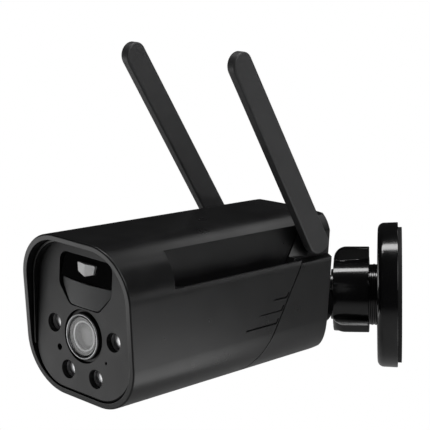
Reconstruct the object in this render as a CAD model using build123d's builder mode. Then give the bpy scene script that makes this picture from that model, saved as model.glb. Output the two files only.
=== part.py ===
from build123d import *
import os
from math import atan2, cos, hypot, radians, sin, sqrt, tan

# Security camera on a ball-joint wall bracket, in millimetres.
# The part's frame is on the wall: origin at the middle of the bracket's back, +Y into the wall, +Z up.
# The head has its own frame: origin at the lens centre on the front panel's face, +Y to the rear, +Z up.

# Head casing
head_w = 66.0
head_h = 70.8
lens_below_top = 42.5
corner_r = 22.0
wall = 2.6
side_len = 125.4          # front panel to the rear edge of the sides
tail_crown = 12.4         # the rear face bulges this much in plan
tail_r = 19.5             # lower rear corner
cover_top = 20.8          # the rear cover's share of the top, fore and aft
hip_drop = 2.2            # the cover's top falls this much behind that seam
rim_slant = 7.3           # degrees, the hood's top leans forward
rim_lead = 3.2            # hood rim ahead of the panel, at lens height
rim_round = 0.7
fit = 0.2                 # play between pieces that stay put
run = 0.3                 # play between pieces that move

# Side recesses that the antennas fold into
recess_d = 9.2
recess_front = 20.0
recess_ramp = 1.2         # the recess runs in over this length
ledge_below_top = 18.15
channel_d = 4.0           # channel sunk into the ledge
channel_lip = 1.5         # its outer edge
channel_in = 2.5          # it starts this far behind the recess's front end
cheek_len = 9.0           # behind the seam the recess runs out to the hinge over this length

# Seam between housing and rear cover
split_in = 34.4           # the seam meets the ledge this far ahead of the rear face
split_slope = 0.57        # it slants forward by this much for each millimetre down
step_below_top = 4.0
seam = 0.6
seam_d = 0.8              # depth of the seam down to the seal
groove_w = 0.8
groove_d = 0.5
groove_pitch = 5.6
groove_first = 8.8        # height of the top groove above the lens axis
groove_len = 9.0
groove_growth = 5.9       # each lower groove is this much longer
groove_hook = 2.2
groove_gap = 1.2          # grooves end this far ahead of the seam

# Front panel
panel_t = 2.4
panel_edge = 0.9
panel_seal_t = 1.0
shelf_w = 3.0
shelf_t = 2.5
liner_t = 1.1
liner_low = -10.0
lens_hole_r = 11.45
lamp_well_r = 4.0
lamp_side_x = 18.2
lamp_side_z = 1.8
lamp_low_x = 8.5
lamp_low_rise = 11.8      # lower lamps above the body's underside
light_hole_r = 1.35
mic_hole_r = 0.6
side_hole_x = 14.4
side_hole_z = -8.1
post_r = 2.0
post_gap = 1.0            # posts clear of the housing's shelf
post_z = 12.0
post_low_rise = 9.0

# Motion sensor window
motion_w = 32.0
motion_below_top = 8.4
motion_bend_drop = 14.1
motion_split_drop = 11.1
motion_lens_gap = 0.55    # window's lower edge above the lens hole
motion_low_w = 18.0
motion_r = 4.0
motion_flange = 1.2
motion_flange_t = 1.2
motion_back = 1.0         # black window behind the panel's face
motion_dome_r = 45.0
motion_dome_lead = 0.6
motion_sensor_r = 4.1
motion_sensor_t = 3.7
spot_w = 11.0             # five-sided lens of the white spotlight
spot_h = 5.4
spot_side_h = 3.9
spot_foot_w = 9.6
spot_below_top = 11.3
spot_t = 1.6
spot_draft = 20.0

# Lens and boards
board_t = 1.4
lamp_board_y = 8.0
lamp_dome_r = 3.6
lamp_dome_back = 3.4
barrel_r = 9.5
barrel_len = 17.6
barrel_flange_r = 13.0
barrel_flange_t = 1.8
window_r = 8.5
window_t = 1.4
bezel_back = 0.5
element_r = 7.2
element_t = 2.6
element_crown = 1.6
element_back = 0.9
iris_r = 5.2
holder_w = 22.0
holder_len = 9.6
holder_lap = 6.0
sensor_board_w = 38.0
sensor_board_top = 19.0
sensor_board_rise = 5.9   # sensor board above the floor
chip_w = 8.0
chip_t = 1.2
mic_r = 2.2

# Battery and main board
cell_r = 9.2
cell_len = 65.0
cell_pitch = 19.4
cell_y = 32.0
cell_rise = 3.7           # cells above the floor
tray_drop = 3.0           # tray's edge below the cells' middle
tray_post_r = 2.0
tray_post_in = 1.9        # posts in from the main board's edge
board_rise = 4.8          # main board above the cells
board_side = 4.5          # main board clear of the walls
board_over = 5.0          # main board longer than the cells
shield_w = 24.0
shield_h = 3.0

# Speaker in the rear cover
speaker_r = 10.0
speaker_t = 3.0
magnet_r = 6.0
speaker_gap = 3.0         # speaker behind the cells
grille_hole_r = 0.9
grille_pitch = 4.0

# Rear cover fixings
pillar_gap = 4.9          # screw pillars clear of the hinge bosses
screw_below_top = 10.5
screw_r = 1.5
screw_head_r = 2.9
screw_head_t = 2.0
screw_len = 12.0
pillar_r = 3.4
pillar_len = 42.5         # pillars reach this far ahead of the rear face
tongue_w = 16.0
tongue_t = 1.5
tongue_reach = 5.0

# Sockets behind the rubber cover
port_w = 26.0
port_h = 17.0
port_below_top = 27.5
port_d = 5.0              # pocket depth at the middle of the rear face
port_r = 3.0
port_relief = 3.0         # cut off the cover's inner lower edge, so that it can swing out
pad_t = 2.2
pad_margin = 2.0
charge_w = 9.0
charge_h = 3.2
charge_len = 7.0
card_w = 14.0
card_h = 1.9
card_len = 15.0
switch_w = 4.6
switch_t = 1.2
button_r = 1.2
button_flange = 0.7
button_travel = 0.5
button_play = 0.06
socket_pitch = 6.0
socket_skin = 0.4

# Antennas
antenna_w = 11.5          # at the tip
antenna_flare = 0.45      # the heel is this much wider on each side
antenna_t = 4.6
antenna_len = 115.0       # whole paddle
right_lean = 36.2         # degrees forward of upright, at rest
left_lean = 37.4
antenna_edge = 0.9
heel = 7.0                # paddle below its pivot
heel_r_front = 8.2
heel_r_rear = 3.0
pivot_in = 10.7           # pivot ahead of the sides' rear edge
pivot_rise = 7.4          # pivot above the ledge
pin_r = 1.6
pin_len = 8.6
hinge_boss_len = 4.6
hub_r = 4.2
socket_drop = 1.2

# Ball joint and wall bracket
ball_behind = 43.9        # ball centre behind the rear face
ball_rise = 16.4          # ball centre above the body's underside
ball_r = 11.5
neck_r = 4.8
neck_len = 19.8           # from the ball centre to the flare
flare_len = 3.2
flange_r = 12.0
flange_t = 7.5
stud_r = 3.1
stud_len = 22.0
boss_r = 11.5
boss_len = 4.5
insert_r = 5.0
insert_len = 10.0
ring_r = 12.8
ring_t = 8.0
ring_flutes = 14
flute_r = 1.1
pan = 55.6                # degrees, the head turned towards +X at rest
lean = -4.68              # degrees, the head's nose dipped at rest
plate_r = 37.7
plate_t = 10.4
plate_round = 3.4
plate_draft = 2.0
plate_rim = 3.0
plate_web = 3.5
back_pad_t = 2.0
back_pad_inset = 2.5
bolt_circle = 58.0
bolts = 3
bolt_hole_r = 2.4
bolt_sink_r = 4.6
bolt_boss_r = 6.0
stub_r = 15.7
stub_len = 13.5
ball_reach = 31.2         # wall to ball centre
seat_wall = 1.3
seat_front = 5.3          # seat ring reaches this far past the ball centre
seat_shoulder = 1.8
nut_r = 19.8
nut_len = 18.3
nut_draft = 2.4
nut_lead = 3.85           # nut's free end past the ball centre
nut_wings = 3
wing_t = 5.1
wing_h = 5.3
wing_r = 6.5
lip_t = 1.7
dish_r = 17.8

# Derived from the sizes above
head_top = lens_below_top
head_low = head_top - head_h
head_mid = head_top - head_h / 2
half_w = head_w / 2
tail = side_len + tail_crown
roof_len = tail - cover_top
ledge_z = head_top - ledge_below_top
split_y = tail - split_in
plan_r = (half_w**2 + tail_crown**2) / (2 * tail_crown)
recess_x = half_w - recess_d
seat_y = panel_t + panel_seal_t
shelf_back = seat_y + shelf_t
rim_angle = radians(rim_slant)
hood_front = rim_lead + tan(rim_angle) * head_top + wall
rim_plane = Plane((0, -rim_lead, 0), x_dir=(1, 0, 0), z_dir=(0, -cos(rim_angle), -sin(rim_angle)))
liner_angle = atan2(tan(rim_angle), 2)
liner_plane = Plane((0, -rim_lead / 2, 0), x_dir=(1, 0, 0), z_dir=(0, -cos(liner_angle), -sin(liner_angle)))
step_z = head_top - step_below_top
beyond = 2 * head_h       # longer than any cut needs
overlap = 0.3             # crossing surfaces meet at an angle, not along a tangent
floor_z = head_low + wall
lamp_low_z = head_low + lamp_low_rise
lamps = [(side * lamp_side_x, lamp_side_z) for side in (1, -1)]
lamps += [(side * lamp_low_x, lamp_low_z) for side in (1, -1)]
post_x = half_w - wall - shelf_w - post_r - post_gap
posts = [(-post_x, post_z), (post_x, post_z), (0, head_low + post_low_rise)]
motion_top = head_top - motion_below_top
motion_bend = motion_top - motion_bend_drop
motion_split = motion_top - motion_split_drop
motion_low = lens_hole_r + motion_lens_gap
spot_top = head_top - spot_below_top
sensor_board_h = sensor_board_top - floor_z - sensor_board_rise
cell_z = floor_z + cell_rise + cell_r
tray_top = cell_z - tray_drop
board_z = cell_z + cell_r + board_rise
board_w = head_w - 2 * (wall + board_side)
board_len = cell_len + board_over
tray_post_x = board_w / 2 - tray_post_in
speaker_y = cell_y + cell_len + speaker_r + speaker_gap
inner_x = half_w - antenna_t - fit / 2
pocket_x = inner_x - run
screw_x = pocket_x - hinge_boss_len - pillar_gap - pillar_r
pillar_front = tail - pillar_len
port_z = head_top - port_below_top
pivot_y = side_len - pivot_in
pivot_z = ledge_z + pivot_rise
ball_back = tail + ball_behind
ball_below = -head_low - ball_rise
pad_back = tail - port_d - pad_t
port_standoff = switch_t + button_flange + button_travel + fit
boss_face = tail + boss_len
ball_centre = (0, ball_back, -ball_below)
turn = Location((0, 0, 0), (lean, 0, pan))
head_pose = Location((0, -ball_reach, 0)) * turn * Location((0, -ball_back, ball_below))
stem_dir = (turn * Location((0, -1, 0))).position
out_dir = Vector(0, -1, 0)


def at_depth(y):
    return Plane.XZ.offset(-y)


def split_at(z):
    return split_y + split_slope * (z - ledge_z)


def rear_face_y(x, inset=0.0):
    return tail - plan_r + sqrt((plan_r - inset) ** 2 - x**2)


# Front end of a side recess, seen from above, drawn in by inset
def recess_edge(x, inset):
    ramp = recess_ramp / recess_d
    return recess_front + ramp * (half_w - x) - inset * hypot(1, ramp)


def head_section(inset):
    with Locations((0, head_mid)):
        RectangleRounded(head_w - 2 * inset, head_h - 2 * inset, corner_r - inset)


# The head's outer form drawn in by inset, from the depth front back to the tail, its ledges lowered by sunk
def head_form(inset, front, sunk=0.0):
    low = head_low + inset - overlap
    end = tail - inset
    bend = tail_r - inset
    hip = hip_drop / (tail - roof_len)
    roof = head_top - inset * hypot(1, hip)
    wide = half_w + overlap
    with BuildPart() as form:
        with BuildSketch(at_depth(front)):
            head_section(inset)
        extrude(amount=front - tail - overlap)
        with BuildSketch(Plane.YZ):
            with BuildLine():
                Polyline((end, low + bend), (end, roof - hip * (end - roof_len)),
                         (roof_len - wall, roof + hip * wall), (roof_len - wall, roof + beyond),
                         (front - wall, roof + beyond), (front - wall, low), (end - bend, low))
                RadiusArc((end - bend, low), (end, low + bend), -bend)
            make_face()
        extrude(amount=head_w, both=True, mode=Mode.INTERSECT)
        with BuildSketch(Plane.XY):
            with BuildLine():
                side_y = rear_face_y(wide, inset)
                Polyline((-wide, side_y), (-wide, front - wall), (wide, front - wall), (wide, side_y))
                ThreePointArc((wide, side_y), (0, end), (-wide, side_y))
            make_face()
        extrude(amount=beyond, both=True, mode=Mode.INTERSECT)
        foot = recess_x - inset
        cheek = pocket_x - inset
        base = ledge_z - inset - sunk
        cheek_y = split_at(base) + inset
        with BuildSketch(Plane.XY.offset(base)):
            for side in (1, -1):
                with BuildLine():
                    Polyline((side * wide, recess_edge(wide, inset)), (side * foot, recess_edge(foot, inset)),
                             (side * foot, cheek_y), (side * wide, cheek_y), close=True)
                make_face()
        extrude(amount=head_h, mode=Mode.SUBTRACT)
        with BuildSketch(Plane.XY.offset(base)):
            for side in (1, -1):
                with BuildLine():
                    Polyline((side * wide, cheek_y - 2 * cheek_len), (side * foot, cheek_y - 2 * cheek_len),
                             (side * foot, cheek_y), (side * cheek, cheek_y + cheek_len),
                             (side * cheek, tail + beyond), (side * wide, tail + beyond), close=True)
                make_face()
        extrude(amount=head_h, dir=(0, split_slope, 1), mode=Mode.SUBTRACT)
    return form.part


# Everything behind the seam; back shifts the seam rearwards and down by the joint's width
def behind_seam(back):
    low = head_low - wall
    step = step_z - back
    with BuildPart() as region:
        with BuildSketch(Plane.YZ):
            with BuildLine():
                Polyline((split_at(low) + back, low), (split_at(step) + back, step), (roof_len + back, step),
                         (roof_len + back, head_top + wall), (tail + beyond, head_top + wall),
                         (tail + beyond, low), close=True)
            make_face()
        extrude(amount=head_w, both=True)
    return region.part


def motion_outline(grow):
    half = motion_w / 2 + grow
    foot = motion_low_w / 2 + grow
    with BuildSketch() as outline:
        with BuildLine():
            FilletPolyline((-half, motion_top + grow), (half, motion_top + grow), (half, motion_bend),
                           (foot, motion_low - grow), (-foot, motion_low - grow), (-half, motion_bend),
                           radius=motion_r + grow, close=True)
        make_face()
    return outline.sketch


def save(piece, name, pose):
    piece.part.label = name
    export_step(piece.part.moved(pose), f"parts/{name}.step")


os.makedirs("parts", exist_ok=True)
on_wall = Location()
solid_form = head_form(0, -hood_front)
cavity = head_form(wall, shelf_back, channel_d)

# Main housing: tube with hood, recesses and the shelf that the front panel sits on
with BuildPart() as pillars:
    with BuildSketch(at_depth(pillar_front)):
        with Locations(*[(side * screw_x, head_top - screw_below_top) for side in (1, -1)]):
            Circle(pillar_r)
    extrude(amount=pillar_front - tail)
    add(head_form(wall + fit, shelf_back, channel_d), mode=Mode.INTERSECT)
    with BuildSketch(at_depth(pillar_front)):
        for side in (1, -1):
            with Locations((side * screw_x, head_top - screw_below_top)):
                Rectangle(pillar_r, screw_below_top - wall / 2, align=(Align.CENTER, Align.MIN))
    extrude(amount=pillar_front - roof_len + seam)
    with BuildSketch(at_depth(tail)):
        with Locations(*[(side * screw_x, head_top - screw_below_top) for side in (1, -1)]):
            Circle(screw_r)
    extrude(amount=tail - rear_face_y(screw_x) + wall + screw_len, mode=Mode.SUBTRACT)

with BuildPart() as main_housing:
    add(solid_form)
    split(bisect_by=rim_plane, keep=Keep.BOTTOM)
    add(cavity, mode=Mode.SUBTRACT)
    with BuildSketch(at_depth(seat_y)):
        head_section(wall)
    extrude(amount=seat_y + hood_front, mode=Mode.SUBTRACT)
    with BuildSketch(at_depth(shelf_back)):
        head_section(wall + shelf_w)
    extrude(amount=shelf_t, mode=Mode.SUBTRACT)
    rim = main_housing.faces().sort_by(Axis.Y)[0]
    fillet(rim.outer_wire().edges(), rim_round)
    add(behind_seam(0), mode=Mode.SUBTRACT)
    for side in (1, -1):
        channel_w = recess_d - channel_lip
        with BuildSketch(Plane.XY.offset(ledge_z)):
            with Locations((side * (recess_x + channel_w / 2), recess_front + channel_in + beyond)):
                SlotOverall(2 * beyond, channel_w, rotation=90)
        extrude(amount=-channel_d, mode=Mode.SUBTRACT)
        for row in range(3):
            z = groove_first - row * groove_pitch
            end = split_at(z) - groove_gap
            start = end - groove_len - row * groove_growth
            with BuildSketch(Plane.YZ.offset(side * (half_w - groove_d))):
                with BuildLine():
                    Polyline((start, z), (end, z), (end + split_slope * groove_hook, z + groove_hook))
                trace(line_width=groove_w)
            extrude(amount=side * wall, mode=Mode.SUBTRACT)
    add(pillars.part)
save(main_housing, "main_housing", head_pose)

# Rear cover with hinge pockets, mount boss, socket pocket and speaker holes
with BuildPart() as port_pad:
    with BuildSketch(at_depth(tail)):
        with Locations((0, port_z)):
            RectangleRounded(port_w + 2 * pad_margin, port_h + 2 * pad_margin, port_r + pad_margin)
    extrude(amount=port_d + pad_t)
    add(solid_form, mode=Mode.INTERSECT)
    with BuildSketch(at_depth(pad_back)):
        with Locations(*[(side * (port_w / 2 - post_r), port_z + port_h / 2 - post_r) for side in (1, -1)]):
            Circle(post_r)
    extrude(amount=port_standoff)

with BuildPart() as hinge_bosses:
    for side in (1, -1):
        with BuildSketch(Plane.YZ.offset(side * pocket_x)):
            with Locations((pivot_y, pivot_z)):
                Circle(hub_r)
        extrude(amount=-side * hinge_boss_len)
    add(behind_seam(seam), mode=Mode.INTERSECT)

with BuildPart() as tongues:
    with BuildSketch(at_depth(split_at(floor_z) + seam)):
        with Locations((0, floor_z + fit)):
            Rectangle(tongue_w, tongue_t, align=(Align.CENTER, Align.MIN))
    extrude(amount=tongue_reach)
    with BuildSketch(at_depth(split_at(floor_z) + seam)):
        with Locations((0, floor_z - wall / 2)):
            Rectangle(tongue_w, tongue_t + fit + wall / 2, align=(Align.CENTER, Align.MIN))
    extrude(amount=-tongue_reach)

with BuildPart() as rear_cover:
    add(solid_form)
    add(behind_seam(seam), mode=Mode.INTERSECT)
    for side in (1, -1):
        with BuildSketch(Plane.YZ.offset(side * pocket_x)):
            with Locations((split_at(ledge_z), ledge_z - socket_drop)):
                Rectangle(beyond, beyond, align=(Align.MIN, Align.MIN))
        extrude(amount=side * head_w, mode=Mode.SUBTRACT)
    add(cavity, mode=Mode.SUBTRACT)
    with BuildSketch(at_depth(boss_face)):
        with Locations((0, -ball_below)):
            Circle(boss_r)
    extrude(amount=insert_len + wall)
    add(port_pad.part)
    add(hinge_bosses.part)
    add(tongues.part)
    with BuildSketch(at_depth(boss_face)):
        with Locations((0, -ball_below)):
            Circle(insert_r + fit / 2)
    extrude(amount=insert_len, mode=Mode.SUBTRACT)
    with BuildSketch(at_depth(boss_face)):
        with Locations((0, -ball_below)):
            Circle(stud_r + fit)
    extrude(amount=insert_len + beyond, mode=Mode.SUBTRACT)
    with BuildSketch(at_depth(tail + wall)):
        with Locations((0, port_z)):
            RectangleRounded(port_w, port_h, port_r)
    extrude(amount=port_d + wall, mode=Mode.SUBTRACT)
    with BuildSketch(at_depth(tail)):
        with Locations((0, port_z + socket_pitch)):
            RectangleRounded(charge_w + 2 * fit, charge_h + 2 * fit, charge_h / 2)
        with Locations((0, port_z)):
            Rectangle(card_w + 2 * fit, card_h + 2 * fit)
        with Locations((0, port_z - socket_pitch)):
            Circle(button_r + button_play)
    extrude(amount=port_d + pad_t, mode=Mode.SUBTRACT)
    with BuildSketch(at_depth(tail)):
        with Locations(*[(side * screw_x, head_top - screw_below_top) for side in (1, -1)]):
            Circle(screw_r + fit)
    extrude(amount=tail - rear_face_y(screw_x) + wall + corner_r, mode=Mode.SUBTRACT)
    with BuildSketch(at_depth(tail)):
        with Locations(*[(side * screw_x, head_top - screw_below_top) for side in (1, -1)]):
            Circle(screw_head_r + fit)
    extrude(amount=tail - rear_face_y(screw_x) + wall / 2, mode=Mode.SUBTRACT)
    with BuildSketch(Plane.YZ):
        with Locations((pivot_y, pivot_z)):
            Circle(pin_r + fit / 2)
    extrude(amount=head_w, both=True, mode=Mode.SUBTRACT)
    with BuildSketch(Plane.XY.offset(head_low)):
        with Locations((0, speaker_y)):
            Circle(grille_hole_r)
            for ring in (1, 2):
                with PolarLocations(ring * grille_pitch, 6 * ring):
                    Circle(grille_hole_r)
    extrude(amount=wall, mode=Mode.SUBTRACT)
save(rear_cover, "rear_cover", head_pose)

# Seal in the seam, set back from the outside
with BuildPart() as rear_seal:
    add(head_form(seam_d, shelf_back, channel_d))
    add(behind_seam(0), mode=Mode.INTERSECT)
    add(behind_seam(seam), mode=Mode.SUBTRACT)
    add(cavity, mode=Mode.SUBTRACT)
save(rear_seal, "rear_seal", head_pose)

# Screws that pull the cover onto the pillars
with BuildPart() as rear_screws:
    head_y = rear_face_y(screw_x) - wall / 2
    for side in (1, -1):
        with BuildSketch(at_depth(head_y)):
            with Locations((side * screw_x, head_top - screw_below_top)):
                Circle(screw_head_r)
        extrude(amount=-screw_head_t)
        with BuildSketch(at_depth(head_y)):
            with Locations((side * screw_x, head_top - screw_below_top)):
                Circle(screw_r - fit / 2)
        extrude(amount=screw_len)
save(rear_screws, "rear_screws", head_pose)

# Front panel with its lamp wells, lens hole and motion window
with BuildPart() as front_panel:
    with BuildSketch(at_depth(panel_t)):
        head_section(wall + fit)
    extrude(amount=panel_t)
    chamfer(front_panel.faces().sort_by(Axis.Y)[0].outer_wire().edges(), panel_edge)
    with BuildSketch(at_depth(panel_t)):
        Circle(lens_hole_r)
        with Locations(*lamps):
            Circle(lamp_well_r)
        with Locations((-side_hole_x, side_hole_z)):
            Circle(light_hole_r)
        with Locations((side_hole_x, side_hole_z)):
            Circle(mic_hole_r)
    extrude(amount=panel_t, mode=Mode.SUBTRACT)
    with BuildSketch(at_depth(panel_t)):
        add(motion_outline(0))
    extrude(amount=panel_t, mode=Mode.SUBTRACT)
    with BuildSketch(at_depth(panel_t)):
        with Locations(*posts):
            Circle(post_r)
    extrude(amount=panel_t - lamp_board_y)
save(front_panel, "front_panel", head_pose)

with BuildPart() as panel_seal:
    with BuildSketch(at_depth(seat_y)):
        head_section(wall + fit)
        with Locations((0, head_mid)):
            inner = wall + shelf_w
            RectangleRounded(head_w - 2 * inner, head_h - 2 * inner, corner_r - inner, mode=Mode.SUBTRACT)
    extrude(amount=panel_seal_t)
save(panel_seal, "panel_seal", head_pose)

# Hood liner: an arch inside the hood, half as deep as the hood itself
with BuildPart() as hood_liner:
    with BuildSketch(at_depth(0)):
        head_section(wall + fit)
        with Locations((0, head_mid)):
            inner = wall + fit + liner_t
            RectangleRounded(head_w - 2 * inner, head_h - 2 * inner, corner_r - inner, mode=Mode.SUBTRACT)
        with Locations((0, liner_low)):
            Rectangle(head_w, head_h, align=(Align.CENTER, Align.MAX), mode=Mode.SUBTRACT)
    extrude(amount=hood_front)
    split(bisect_by=liner_plane, keep=Keep.BOTTOM)
save(hood_liner, "hood_liner", head_pose)

# Motion sensor: black window above, frosted lens below, each with a flange behind the panel
def motion_half(face_y, upper):
    with BuildPart() as half:
        with BuildSketch(at_depth(panel_t)):
            add(motion_outline(-fit))
        extrude(amount=panel_t - face_y)
        with BuildSketch(at_depth(panel_t + motion_flange_t)):
            add(motion_outline(motion_flange))
        extrude(amount=motion_flange_t)
        with BuildSketch(at_depth(panel_t + motion_flange_t)):
            with Locations((0, motion_split + (fit / 2 if upper else -fit / 2))):
                edge = Align.MAX if upper else Align.MIN
                Rectangle(head_w, head_h, align=(Align.CENTER, edge))
        extrude(amount=beyond, both=True, mode=Mode.SUBTRACT)
    return half


motion_window = motion_half(motion_back, True)
save(motion_window, "motion_window", head_pose)

with BuildPart() as motion_lens:
    add(motion_half(-motion_dome_lead, False).part)
    with Locations((0, motion_dome_r - motion_dome_lead, (motion_low + motion_split) / 2)):
        Sphere(motion_dome_r, mode=Mode.INTERSECT)
    with BuildSketch(at_depth(panel_t + motion_flange_t)):
        Circle(barrel_flange_r + fit)
    extrude(amount=motion_flange_t, mode=Mode.SUBTRACT)
save(motion_lens, "motion_lens", head_pose)

with BuildPart() as spot_lens:
    with BuildSketch(at_depth(motion_back)):
        with BuildLine():
            spot_bend = spot_top - spot_side_h
            Polyline((-spot_w / 2, spot_top), (spot_w / 2, spot_top), (spot_foot_w / 2, spot_bend),
                     (0, spot_top - spot_h), (-spot_foot_w / 2, spot_bend), close=True)
        make_face()
    extrude(amount=spot_t, taper=spot_draft)
save(spot_lens, "spot_lens", head_pose)

with BuildPart() as motion_sensor:
    with BuildSketch(at_depth(lamp_board_y)):
        with Locations((0, (motion_low + motion_top) / 2)):
            Circle(motion_sensor_r)
    extrude(amount=motion_sensor_t)
    fillet(motion_sensor.edges().sort_by(Axis.Y)[0], rim_round)
save(motion_sensor, "motion_sensor", head_pose)

# Lamp board with what it carries
with BuildPart() as lamp_board:
    with BuildSketch(at_depth(lamp_board_y)):
        head_section(wall + shelf_w + 2 * fit)
        Circle(barrel_flange_r + 2 * fit, mode=Mode.SUBTRACT)
    extrude(amount=-board_t)
save(lamp_board, "lamp_board", head_pose)

with BuildPart() as lamp_domes:
    with BuildSketch(at_depth(lamp_board_y)):
        with Locations(*lamps):
            Circle(lamp_dome_r)
    extrude(amount=lamp_board_y - lamp_dome_back)
    fillet(lamp_domes.edges().group_by(Axis.Y)[0], lamp_dome_r - fit)
save(lamp_domes, "lamp_domes", head_pose)

with BuildPart() as light_sensor:
    with BuildSketch(at_depth(lamp_board_y)):
        with Locations((-side_hole_x, side_hole_z)):
            Circle(light_hole_r - fit)
    extrude(amount=lamp_board_y - lamp_dome_back)
    fillet(light_sensor.edges().sort_by(Axis.Y)[0], light_hole_r / 2)
save(light_sensor, "light_sensor", head_pose)

with BuildPart() as microphone:
    with BuildSketch(at_depth(lamp_board_y)):
        with Locations((side_hole_x, side_hole_z)):
            Circle(mic_r)
    extrude(amount=lamp_board_y - panel_t - fit)
save(microphone, "microphone", head_pose)

# Lens: bezel and window in the panel's hole, element, barrel and holder behind them
barrel_back = panel_t + barrel_len
holder_back = barrel_back - holder_lap + holder_len
with BuildPart() as lens_barrel:
    with BuildSketch(at_depth(barrel_back)):
        Circle(barrel_r)
    extrude(amount=barrel_len)
    with BuildSketch(at_depth(panel_t + barrel_flange_t)):
        Circle(barrel_flange_r)
    extrude(amount=barrel_flange_t)
    with BuildSketch(at_depth(panel_t + element_back + element_t)):
        Circle(element_r + fit)
    extrude(amount=element_back + element_t, mode=Mode.SUBTRACT)
    with BuildSketch(at_depth(barrel_back)):
        Circle(iris_r)
    extrude(amount=barrel_len, mode=Mode.SUBTRACT)
save(lens_barrel, "lens_barrel", head_pose)

with BuildPart() as lens_bezel:
    with BuildSketch(at_depth(panel_t)):
        Circle(lens_hole_r - fit)
        Circle(window_r + fit / 2, mode=Mode.SUBTRACT)
    extrude(amount=panel_t - bezel_back)
    chamfer(lens_bezel.faces().sort_by(Axis.Y)[0].inner_wires().edges(), panel_t - bezel_back - window_t)
save(lens_bezel, "lens_bezel", head_pose)

with BuildPart() as lens_window:
    with BuildSketch(at_depth(panel_t)):
        Circle(window_r)
    extrude(amount=window_t)
save(lens_window, "lens_window", head_pose)

with BuildPart() as lens_element:
    crown_r = (element_r**2 + element_crown**2) / (2 * element_crown)
    element_front = panel_t + element_back
    with BuildSketch(at_depth(element_front + element_t)):
        Circle(element_r)
    extrude(amount=element_t)
    with Locations((0, element_front + crown_r, 0)):
        Sphere(crown_r, mode=Mode.INTERSECT)
save(lens_element, "lens_element", head_pose)

with BuildPart() as lens_holder:
    with BuildSketch(at_depth(holder_back)):
        RectangleRounded(holder_w, holder_w, panel_t)
        Circle(barrel_r + fit / 2, mode=Mode.SUBTRACT)
    extrude(amount=holder_len)
save(lens_holder, "lens_holder", head_pose)

with BuildPart() as sensor_board:
    with BuildSketch(at_depth(holder_back)):
        with Locations((0, sensor_board_top)):
            Rectangle(sensor_board_w, sensor_board_h, align=(Align.CENTER, Align.MAX))
    extrude(amount=-board_t)
save(sensor_board, "sensor_board", head_pose)

with BuildPart() as image_sensor:
    with BuildSketch(at_depth(holder_back)):
        Rectangle(chip_w, chip_w)
    extrude(amount=chip_t)
save(image_sensor, "image_sensor", head_pose)

# Battery tray on the housing's floor, with posts for the main board
cell_places = [(side * cell_pitch / 2, cell_z) for side in (1, -1)]
with BuildPart() as battery_tray:
    with BuildSketch(at_depth(cell_y + cell_len)):
        head_section(wall + fit)
        with Locations((0, tray_top)):
            Rectangle(head_w, head_h, align=(Align.CENTER, Align.MIN), mode=Mode.SUBTRACT)
        with Locations(*cell_places):
            Circle(cell_r + fit, mode=Mode.SUBTRACT)
    extrude(amount=cell_len)
    with BuildSketch(Plane.XY.offset(tray_top - overlap)):
        with Locations((0, cell_y + cell_len / 2)):
            with GridLocations(2 * tray_post_x, cell_len - 6 * tray_post_r, 2, 2):
                Circle(tray_post_r)
    extrude(amount=board_z - tray_top + overlap)
    with BuildSketch(at_depth(split_at(floor_z) - tongue_reach - fit)):
        with Locations((0, floor_z)):
            Rectangle(tongue_w + 4 * fit, 2 * (tongue_t + 2 * fit))
    extrude(amount=-beyond, mode=Mode.SUBTRACT)
save(battery_tray, "battery_tray", head_pose)

with BuildPart() as battery_cells:
    with BuildSketch(at_depth(cell_y + cell_len)):
        with Locations(*cell_places):
            Circle(cell_r)
    extrude(amount=cell_len)
    fillet(battery_cells.edges(), rim_round)
save(battery_cells, "battery_cells", head_pose)

with BuildPart() as main_board:
    with BuildSketch(Plane.XY.offset(board_z)):
        with Locations((0, cell_y + cell_len / 2)):
            RectangleRounded(board_w, board_len, panel_t)
    extrude(amount=board_t)
save(main_board, "main_board", head_pose)

with BuildPart() as shield_can:
    with BuildSketch(Plane.XY.offset(board_z + board_t)):
        with Locations((0, cell_y + cell_len / 2)):
            RectangleRounded(shield_w, shield_w, panel_t)
    extrude(amount=shield_h)
save(shield_can, "shield_can", head_pose)

with BuildPart() as speaker:
    with BuildSketch(Plane.XY.offset(floor_z)):
        with Locations((0, speaker_y)):
            Circle(speaker_r)
    extrude(amount=speaker_t)
    with BuildSketch(Plane.XY.offset(floor_z + speaker_t)):
        with Locations((0, speaker_y)):
            Circle(magnet_r)
    extrude(amount=speaker_t)
save(speaker, "speaker", head_pose)

# Sockets behind the rubber cover
socket_face = tail - port_d - fit
board_face = pad_back - port_standoff
with BuildPart() as port_cover:
    with BuildSketch(at_depth(tail)):
        with Locations((0, port_z)):
            RectangleRounded(port_w - 2 * run, port_h - 2 * run, port_r - run)
    extrude(amount=port_d)
    add(solid_form, mode=Mode.INTERSECT)
    inner_y = tail - port_d
    low_z = port_z - port_h / 2
    with BuildSketch(Plane.YZ):
        with BuildLine():
            Polyline((inner_y, low_z), (inner_y + port_relief, low_z), (inner_y, low_z + port_relief), close=True)
        make_face()
    extrude(amount=port_w, both=True, mode=Mode.SUBTRACT)
save(port_cover, "port_cover", head_pose)

with BuildPart() as port_board:
    with BuildSketch(at_depth(board_face)):
        with Locations((0, port_z)):
            Rectangle(port_w, port_h)
        with Locations((0, port_z + socket_pitch)):
            Rectangle(charge_w + 2 * fit, charge_h + 2 * fit, mode=Mode.SUBTRACT)
        with Locations((0, port_z)):
            Rectangle(card_w + 2 * fit, card_h + 2 * fit, mode=Mode.SUBTRACT)
    extrude(amount=board_t)
save(port_board, "port_board", head_pose)

with BuildPart() as charge_socket:
    with BuildSketch(at_depth(socket_face)):
        with Locations((0, port_z + socket_pitch)):
            RectangleRounded(charge_w, charge_h, charge_h / 2 - socket_skin)
    extrude(amount=charge_len)
    offset(amount=-socket_skin, openings=charge_socket.faces().sort_by(Axis.Y)[-1])
save(charge_socket, "charge_socket", head_pose)

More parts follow.
